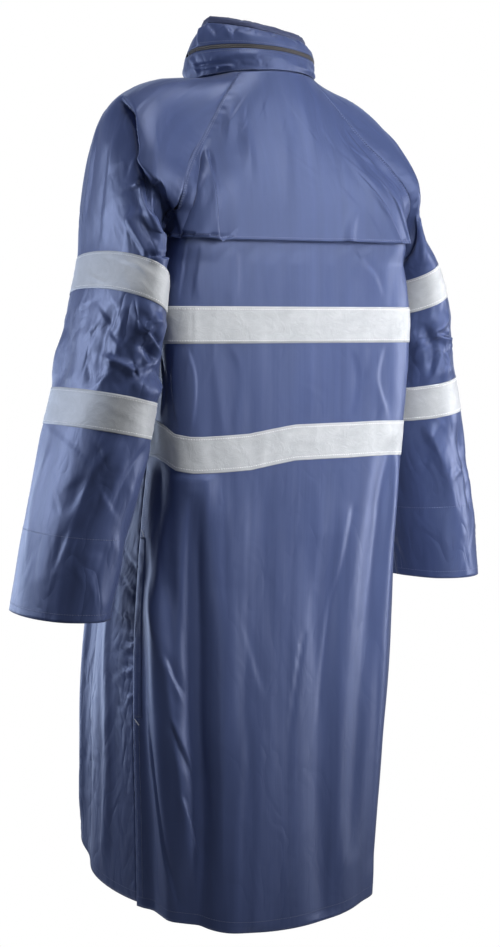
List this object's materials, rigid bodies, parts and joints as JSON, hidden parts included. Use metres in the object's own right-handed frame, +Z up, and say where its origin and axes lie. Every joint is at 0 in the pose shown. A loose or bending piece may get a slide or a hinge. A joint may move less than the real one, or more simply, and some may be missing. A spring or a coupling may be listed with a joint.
{
  "type": "hooded raincoat",
  "caption": "Long hooded raincoat filled out as if worn, with raglan sleeves, a back yoke flap, reflective tapes and the hood stowed in a zipped stand collar.",
  "frame": {"origin": "centre of the neck seam, where the wearer's neck and shoulders hold the coat", "axes": "+Z up along the coat, the front faces -Y, the wearer's left is +X"},
  "size_m": [0.7386, 0.3975, 1.278],
  "materials": {
    "navy_nylon": "satin coated nylon",
    "navy_facing": "matt inside of the coated nylon",
    "reflective_tape": "satin grey retroreflective tape",
    "zip_coil": "dark coil on woven tape",
    "dark_metal": "dark painted metal"
  },
  "bodies": {
    "coat": {"back_panel": "navy_nylon", "back_yoke": "navy_nylon", "collar_inner": "navy_facing", "collar_lower": "navy_nylon", "collar_upper": "navy_nylon", "collar_zip": "zip_coil", "collar_zip_slider": "dark_metal", "front_left": "navy_nylon", "front_right": "navy_nylon", "pocket_welt_left": "navy_nylon", "pocket_welt_right": "navy_nylon", "press_stud_1": "dark_metal", "press_stud_2": "dark_metal", "press_stud_3": "dark_metal", "press_stud_4": "dark_metal", "press_stud_5": "dark_metal", "press_stud_6": "dark_metal", "sleeve_lower_back_left": "navy_nylon", "sleeve_lower_back_right": "navy_nylon", "sleeve_lower_front_left": "navy_nylon", "sleeve_lower_front_right": "navy_nylon", "sleeve_middle_back_left": "navy_nylon", "sleeve_middle_back_right": "navy_nylon", "sleeve_middle_front_left": "navy_nylon", "sleeve_middle_front_right": "navy_nylon", "sleeve_tape_lower_left": "reflective_tape", "sleeve_tape_lower_right": "reflective_tape", "sleeve_tape_upper_left": "reflective_tape", "sleeve_tape_upper_right": "reflective_tape", "sleeve_upper_back_left": "navy_nylon", "sleeve_upper_back_right": "navy_nylon", "sleeve_upper_front_left": "navy_nylon", "sleeve_upper_front_right": "navy_nylon", "storm_flap": "navy_nylon", "tape_lower_back": "reflective_tape", "tape_lower_flap": "reflective_tape", "tape_lower_front_left": "reflective_tape", "tape_lower_front_right": "reflective_tape", "tape_upper_back": "reflective_tape", "tape_upper_flap": "reflective_tape", "tape_upper_front_left": "reflective_tape", "tape_upper_front_right": "reflective_tape"},
    "zip_pull": {"collar_zip_pull": "dark_metal"}
  },
  "joints": [
    {"name": "zip_pull_hinge", "type": "hinge", "parent": "coat", "child": "zip_pull", "pos_m": [-0.09714, -0.00061, 0.01232], "axis": [0, 0, -1], "range_deg": [0, 150]}
  ]
}
